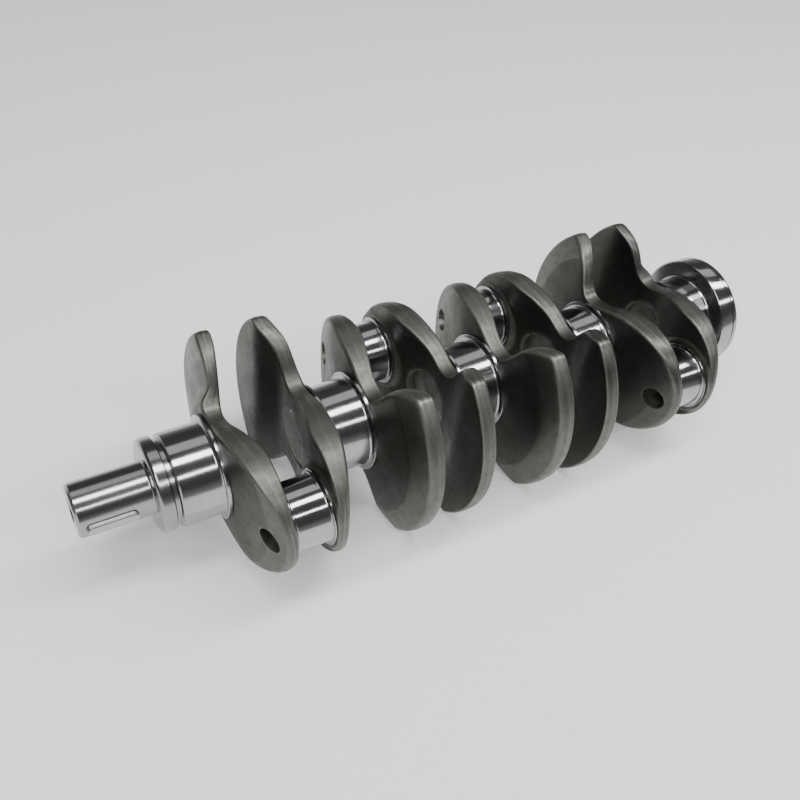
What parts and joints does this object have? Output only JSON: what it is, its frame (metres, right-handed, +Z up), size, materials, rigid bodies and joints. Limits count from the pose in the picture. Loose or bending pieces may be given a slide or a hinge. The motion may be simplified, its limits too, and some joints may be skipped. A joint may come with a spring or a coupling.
{
  "type": "crankshaft",
  "caption": "Inline-four engine crankshaft with counterweighted webs, ground main journals and crankpins, keyed nose and bolted flywheel flange with pilot bearing.",
  "frame": {"origin": "on the main axis at mid-length, the centre of the bounding box", "axes": "+X along the main axis from the nose to the flywheel flange; the throws lie in the XY plane with crankpins 1 and 4 at -Y and crankpins 2 and 3 at +Y; +Z up, square to the throws"},
  "size_m": [0.46, 0.151, 0.1156],
  "materials": {
    "forged_web": "satin, shot-cleaned forging with machined faces",
    "ground_pin": "ground and polished",
    "ground_main": "ground and polished",
    "turned_nose": "turned and ground",
    "ground_tail": "ground seal surface, turned flange faces",
    "key_steel": "drawn key steel",
    "bearing_steel": "polished bearing steel",
    "cage_brass": "machined brass"
  },
  "bodies": {
    "crankshaft": {"nose_shaft": "turned_nose", "snout_key": "key_steel", "web_1": "forged_web", "web_2": "forged_web", "web_3": "forged_web", "web_4": "forged_web", "web_5": "forged_web", "web_6": "forged_web", "web_7": "forged_web", "web_8": "forged_web", "crankpin_1": "ground_pin", "crankpin_2": "ground_pin", "crankpin_3": "ground_pin", "crankpin_4": "ground_pin", "main_journal_2": "ground_main", "main_journal_3": "ground_main", "main_journal_4": "ground_main", "tail_shaft": "ground_tail", "flange_dowel": "bearing_steel", "pilot_outer_ring": "bearing_steel"},
    "pilot_inner": {"pilot_inner_ring": "bearing_steel"},
    "pilot_cage_set": {"pilot_cage": "cage_brass", "pilot_ball_1": "bearing_steel", "pilot_ball_2": "bearing_steel", "pilot_ball_3": "bearing_steel", "pilot_ball_4": "bearing_steel", "pilot_ball_5": "bearing_steel", "pilot_ball_6": "bearing_steel", "pilot_ball_7": "bearing_steel", "pilot_ball_8": "bearing_steel"}
  },
  "joints": [
    {"name": "pilot_inner_spin", "type": "hinge", "parent": "crankshaft", "child": "pilot_inner", "pos_m": [0.2199, 0, 0], "axis": [1, 0, 0], "continuous": true},
    {"name": "pilot_cage_spin", "type": "hinge", "parent": "crankshaft", "child": "pilot_cage_set", "pos_m": [0.2199, 0, 0], "axis": [1, 0, 0], "continuous": true}
  ],
  "couplings": [
    {"joint": "pilot_cage_spin", "follows": "pilot_inner_spin", "ratio": 0.38}
  ]
}
